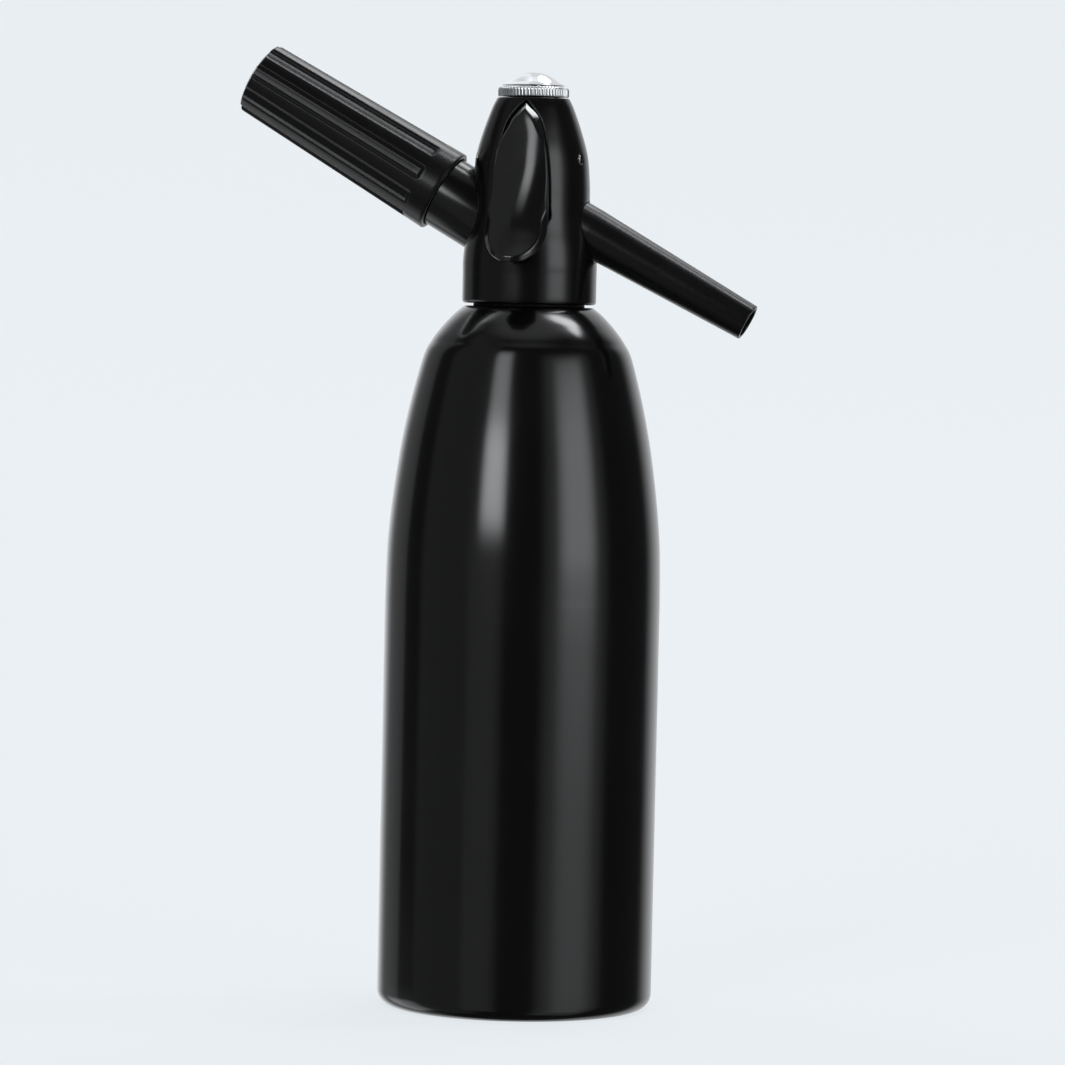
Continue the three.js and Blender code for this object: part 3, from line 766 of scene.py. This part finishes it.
def charger():
    """A gas charger: thin sealed neck, rolled shoulder, drawn body with a round end."""
    tip = 35.5
    end = 101
    radius = 9
    wall = 1.3
    neck_r = 3.65
    neck = eased([(1.3, 37), (1.3, tip), (3.2, tip), (neck_r, tip + 0.6), (neck_r, 42), (4.6, 43.4)], 0.35)
    profile = [
        *neck[:-1],
        *arc(neck_r, 47.5, radius - neck_r, -72, 0, 14),
        *[Vector((radius, t)) for t in range(52, 89, 6)],
        *arc(0, end - radius, radius, 0, 90, 20),
        *arc(0, end - radius, radius - wall, 90, 0, 12),
        Vector((radius - wall, 48.4)),
        Vector((2.4, 43.6)),
        Vector((2.4, 37)),
    ]
    return lathe("charger", profile, CHARGER_STEEL, closed=True, matrix=HOLDER_AXIS)


stand_in(charger(), "charger", slot="charger_steel")
stand_in(hoop("charger_seal", 1.5, 4.4, 33.3, 35.2, RUBBER, 0.35, HOLDER_AXIS), "charger_seal",
         slot="black_rubber")
cushion_profile = eased([(0, 101.4), (8.2, 101.4), (8.2, 103.2), (0, 103.2)], 0.4)
stand_in(lathe("cushion", cushion_profile, RUBBER, matrix=HOLDER_AXIS), "cushion", slot="black_rubber")
insert_profile = eased([(1.2, 25), (1.2, 22.9), (6.1, 22.9), (6.1, 31.5), (9.3, 31.5), (9.3, 33),
                        (1.2, 33), (1.2, 25)], 0.25)
stand_in(lathe("piercing_insert", insert_profile[:-1], BRASS, closed=True, matrix=HOLDER_AXIS),
         "piercing_insert", slot="brass")
stand_in(lathe("piercing_pin", [(0, 23.4), (0.85, 23.5), (0.85, 36.2), (0.3, 37.4), (0, 37.6)], STEEL,
               segments=32, matrix=HOLDER_AXIS), "piercing_pin", slot="steel")


def sleeve_radius(t):
    """The sleeve's plain radius at a distance along the holder's axis."""
    return SLEEVE_RIM_R + (SLEEVE_END_R - SLEEVE_RIM_R) * (t - SLEEVE_RIM) / (SLEEVE_END - SLEEVE_RIM)


def flute_depth(across, t):
    """Depth of a flute at a point, from its distance inside the flute's outline."""
    beside_it = abs(across) - (FLUTE_HALF - FLUTE_CORNER)
    behind_it = FLUTE_START + FLUTE_CORNER - t
    d = FLUTE_CORNER - math.hypot(max(beside_it, 0), max(behind_it, 0)) - min(max(beside_it, behind_it), 0)
    return FLUTE_DEPTH * smoothstep(-FLUTE_LIP, FLUTE_WALL, d)


def flute_columns(t):
    """(angle, depth) round the sleeve at one height: close together at the flutes' edges."""
    radius = sleeve_radius(min(t, SLEEVE_END))
    pitch = 2 * math.pi * radius / FLUTES
    back = min(max(FLUTE_START + FLUTE_CORNER - t, 0), FLUTE_CORNER)
    half = FLUTE_HALF - FLUTE_CORNER + math.sqrt(FLUTE_CORNER ** 2 - back ** 2)
    inside = [u * half for u in (0, 0.25, 0.4, 0.5, 0.58, 0.66, 0.74, 0.82, 0.91, 1)]
    outside = [half + (pitch / 2 - half) * u for u in (0.02, 0.05, 0.1, 0.3, 0.65, 1)]
    right = inside + outside
    offsets = [-s for s in reversed(right[1:-1])] + right
    made = []
    for k in range(FLUTES):
        centre = 2 * math.pi * k / FLUTES + math.radians(FLUTE_TURN - 90)
        for s in offsets:
            made.append((centre + s / radius, flute_depth(s, t)))
    return made


def sleeve_rows():
    """Rows from the rim, along the fluted outside, over the domed end and back up the bore."""
    turn = FLUTE_START + FLUTE_CORNER
    heights = [SLEEVE_RIM + 0.45, 35, 36.5, 38, 39.5]
    heights += [FLUTE_START - FLUTE_LIP + 0.135 * i for i in range(10)]
    heights += [turn + 0.15, turn + 0.45]
    heights += [turn + (SLEEVE_END - END_ROUND - turn) * i / 24 for i in range(1, 25)]
    outer = [(sleeve_radius(t), t) for t in heights]
    end = eased([(SLEEVE_END_R + 0.03, SLEEVE_END - END_ROUND), (SLEEVE_END_R - 0.05, SLEEVE_END - 0.1),
                 (8.4, SLEEVE_END + 1.2), (4.2, SLEEVE_END + 1.8), (0, SLEEVE_END + 2)], 0.7, 6)
    rows = []
    for r, t in [*outer, *end[1:]]:
        limit = sleeve_radius(min(t, SLEEVE_END))
        rows.append([(min(r, limit - deep) * math.cos(a), min(r, limit - deep) * math.sin(a), t)
                     for a, deep in flute_columns(t)])
    return rows


def holder_sleeve():
    """The fluted outside joined to the bore, which narrows past the thread to hold the charger."""
    rows = sleeve_rows()
    angles = [a for a, _ in flute_columns(SLEEVE_RIM)]
    mouth_r = 12.4
    thread_r = 11.6
    charger_r = 9.8
    bore = eased([(SLEEVE_RIM_R - 0.06, SLEEVE_RIM + 0.3), (SLEEVE_RIM_R - 0.5, SLEEVE_RIM),
                  (mouth_r, SLEEVE_RIM), (mouth_r, 35.6), (thread_r, 36.2), (thread_r, 46.7),
                  (charger_r, 47.3), (charger_r, SLEEVE_FLOOR - 1), (charger_r - 1, SLEEVE_FLOOR),
                  (0, SLEEVE_FLOOR)], 0.3)
    inner = [[(r * math.cos(a), r * math.sin(a), t) for a in angles] for r, t in bore]
    return new_object("holder_sleeve", grid([*reversed(inner), *rows]), SATIN, 60, HOLDER_AXIS)


stand_in(holder_sleeve(), "holder_sleeve", slot="satin_black")


# ---------- parts kept from the CAD ----------

KEPT = {
    "riser_tube": (NYLON, "pale_nylon"),
    "measuring_tube": (NYLON, "pale_nylon"),
    "check_sleeve": (RUBBER, "black_rubber"),
    "riser_gasket": (PALE_RUBBER, "pale_rubber"),
    "head_seal": (RUBBER, "black_rubber"),
    "valve_body": (BRASS, "brass"),
    "valve_stem": (STEEL, "steel"),
    "valve_seat": (RUBBER, "black_rubber"),
    "stem_packing": (RUBBER, "black_rubber"),
    "packing_gland": (BRASS, "brass"),
    "valve_spring": (STEEL, "steel"),
}

for name, (surface, slot_name) in KEPT.items():
    node = NODES[name]
    node.data.materials.clear()
    node.data.materials.append(surface)
    node.data.shade_smooth()
    node.data.set_sharp_from_angle(angle=math.radians(35))


# ---------- floor, light and camera ----------

CAMERA_AZIMUTH = 11
CAMERA_DISTANCE = 1.64
CAMERA_HEIGHT = 0.222
AIM_RIGHT = 0.0028
AIM_HEIGHT = 0.1555
ROLL = 1.264
LENS = 169.4
PALE = (0.80, 0.845, 0.875)
BACKDROP_GLOW = 0.9
FLOOR_R = 8.0
SWEEP_R = 4.0
WALL_TOP = 20.0
OVERHEAD = 0.4
AMBIENT = 0.045


def backdrop():
    """A round pale floor that sweeps up into a wall, seen by the camera but not in the gloss."""
    profile = [(0, 0), (0.3, 0), (0.8, 0), (1.4, 0)]
    profile += [(p.x, p.y) for p in arc(FLOOR_R, SWEEP_R, SWEEP_R, -90, 0, 24)]
    profile += [(FLOOR_R + SWEEP_R, WALL_TOP)]
    bm = bmesh.new()
    grid([[(x / MM, y / MM, z / MM) for x, y, z in row] for row in turned(profile, 96)], bm=bm)
    material = bpy.data.materials.new("pale_backdrop")
    material.use_nodes = True
    tree = material.node_tree
    diffuse = tree.nodes["Principled BSDF"]
    diffuse.inputs["Base Color"].default_value = (0.14, 0.145, 0.15, 1)
    diffuse.inputs["Roughness"].default_value = 1
    diffuse.inputs["Specular IOR Level"].default_value = 0
    diffuse.inputs["Emission Color"].default_value = (*PALE, 1)
    diffuse.inputs["Emission Strength"].default_value = BACKDROP_GLOW
    obj = new_object("backdrop", bm, material)
    obj.visible_glossy = False
    obj.visible_diffuse = False
    obj.visible_shadow = False


def softboxes():
    """A studio as light by direction. Azimuths are degrees from the camera, to its right."""
    world = bpy.data.worlds.new("studio")
    bpy.context.scene.world = world
    world.use_nodes = True
    tree = world.node_tree
    tree.nodes.clear()
    links = tree.links

    def math_node(operation, *values):
        node = tree.nodes.new("ShaderNodeMath")
        node.operation = operation
        for socket, value in zip(node.inputs, values):
            if isinstance(value, (int, float)):
                socket.default_value = value
            else:
                links.new(value, socket)
        return node.outputs[0]

    def ramp(value, low, high):
        node = tree.nodes.new("ShaderNodeMapRange")
        node.interpolation_type = "SMOOTHSTEP"
        node.inputs["From Min"].default_value = low
        node.inputs["From Max"].default_value = high
        links.new(value, node.inputs["Value"])
        return node.outputs["Result"]

    where = tree.nodes.new("ShaderNodeTexCoord")
    parts = tree.nodes.new("ShaderNodeSeparateXYZ")
    links.new(where.outputs["Generated"], parts.inputs["Vector"])
    x, y, z = parts.outputs
    level_squared = math_node("SUBTRACT", 1.0, math_node("MULTIPLY", z, z))
    flat = math_node("SQRT", math_node("MAXIMUM", level_squared, 0.0001))

    def sine(degrees):
        return math.sin(math.radians(degrees))

    def box(azimuth, inner, outer, low, high, strength, soft=8):
        """A soft-edged box of light: full inside the inner half-angle, none past the outer one,
        and between two heights in degrees above the level."""
        a = math.radians(azimuth + CAMERA_AZIMUTH)
        side = math_node("ADD", math_node("MULTIPLY", x, math.sin(a)),
                         math_node("MULTIPLY", y, -math.cos(a)))
        turn = math_node("DIVIDE", side, flat)
        across = ramp(turn, math.cos(math.radians(outer)), math.cos(math.radians(inner)))
        rise = ramp(z, sine(low - soft / 2), sine(low + soft / 2))
        fall = ramp(z, sine(high - soft), sine(min(high + soft, 90)))
        upright = math_node("MULTIPLY", rise, math_node("SUBTRACT", 1.0, fall))
        shape = math_node("MULTIPLY", across, upright)
        return math_node("MULTIPLY", shape, strength)

    lights = [
        # High at the right: the spot on the shoulder.
        box(108, 5, 14, 53, 76, 9.5, 6),
        # High behind, left and right: the light edges along the holder and the spout.
        box(-128, 8, 20, 42, 62, 3.2),
        box(152, 8, 18, 44, 60, 4.6),
        # Left of the camera: the narrow streak, brightest low down, with a faint tail under it.
        box(-28, 1, 14, 7.5, 20, 5.8, 5),
        box(-28, 1, 13, 18, 43, 2.6, 8),
        box(-31, 4, 18, -40, 6, 0.22),
        # Right of the camera: the wide streak, its weaker lower half and a faint spread round it.
        box(47, 3, 21, -2, 29, 2.1, 9),
        box(47, 3, 21, -40, -2, 0.4),
        box(46, 18, 34, -60, 38, 0.3),
        # Faint fills at the left side and behind it.
        box(-68, 22, 30, -60, 60, 0.12),
        box(-145, 28, 31, -60, 70, 0.22),
        # Low at the left: the holder's underside.
        box(-115, 12, 26, -48, -14, 1.0),
        # Wide and behind: the pale rims down both sides.
        box(172, 20, 48, -60, 80, 0.75),
    ]
    total = math_node("MULTIPLY", ramp(z, 0.84, 0.97), OVERHEAD)
    for light in lights:
        total = math_node("ADD", total, light)
    total = math_node("ADD", total, AMBIENT)
    background = tree.nodes.new("ShaderNodeBackground")
    background.inputs["Color"].default_value = (0.96, 0.98, 1.0, 1)
    links.new(total, background.inputs["Strength"])
    output = tree.nodes.new("ShaderNodeOutputWorld")
    links.new(background.outputs["Background"], output.inputs["Surface"])


def camera():
    """In front of the object, a little to its right and a little above its middle."""
    scene = bpy.context.scene
    a = math.radians(CAMERA_AZIMUTH)
    data = bpy.data.cameras.new("camera")
    data.lens = LENS
    data.sensor_width = 36
    data.clip_start = 0.05
    data.clip_end = 50
    obj = bpy.data.objects.new("camera", data)
    scene.collection.objects.link(obj)
    obj.location = (CAMERA_DISTANCE * math.sin(a), -CAMERA_DISTANCE * math.cos(a), CAMERA_HEIGHT)
    target = Vector((AIM_RIGHT * math.cos(a), AIM_RIGHT * math.sin(a), AIM_HEIGHT))
    look = (target - obj.location).to_track_quat("-Z", "Y").to_matrix().to_4x4()
    turn = look @ Matrix.Rotation(math.radians(ROLL), 4, "Z")
    obj.rotation_mode = "QUATERNION"
    obj.rotation_quaternion = turn.to_quaternion()
    scene.camera = obj
    scene.view_settings.view_transform = "Standard"


backdrop()
softboxes()
camera()
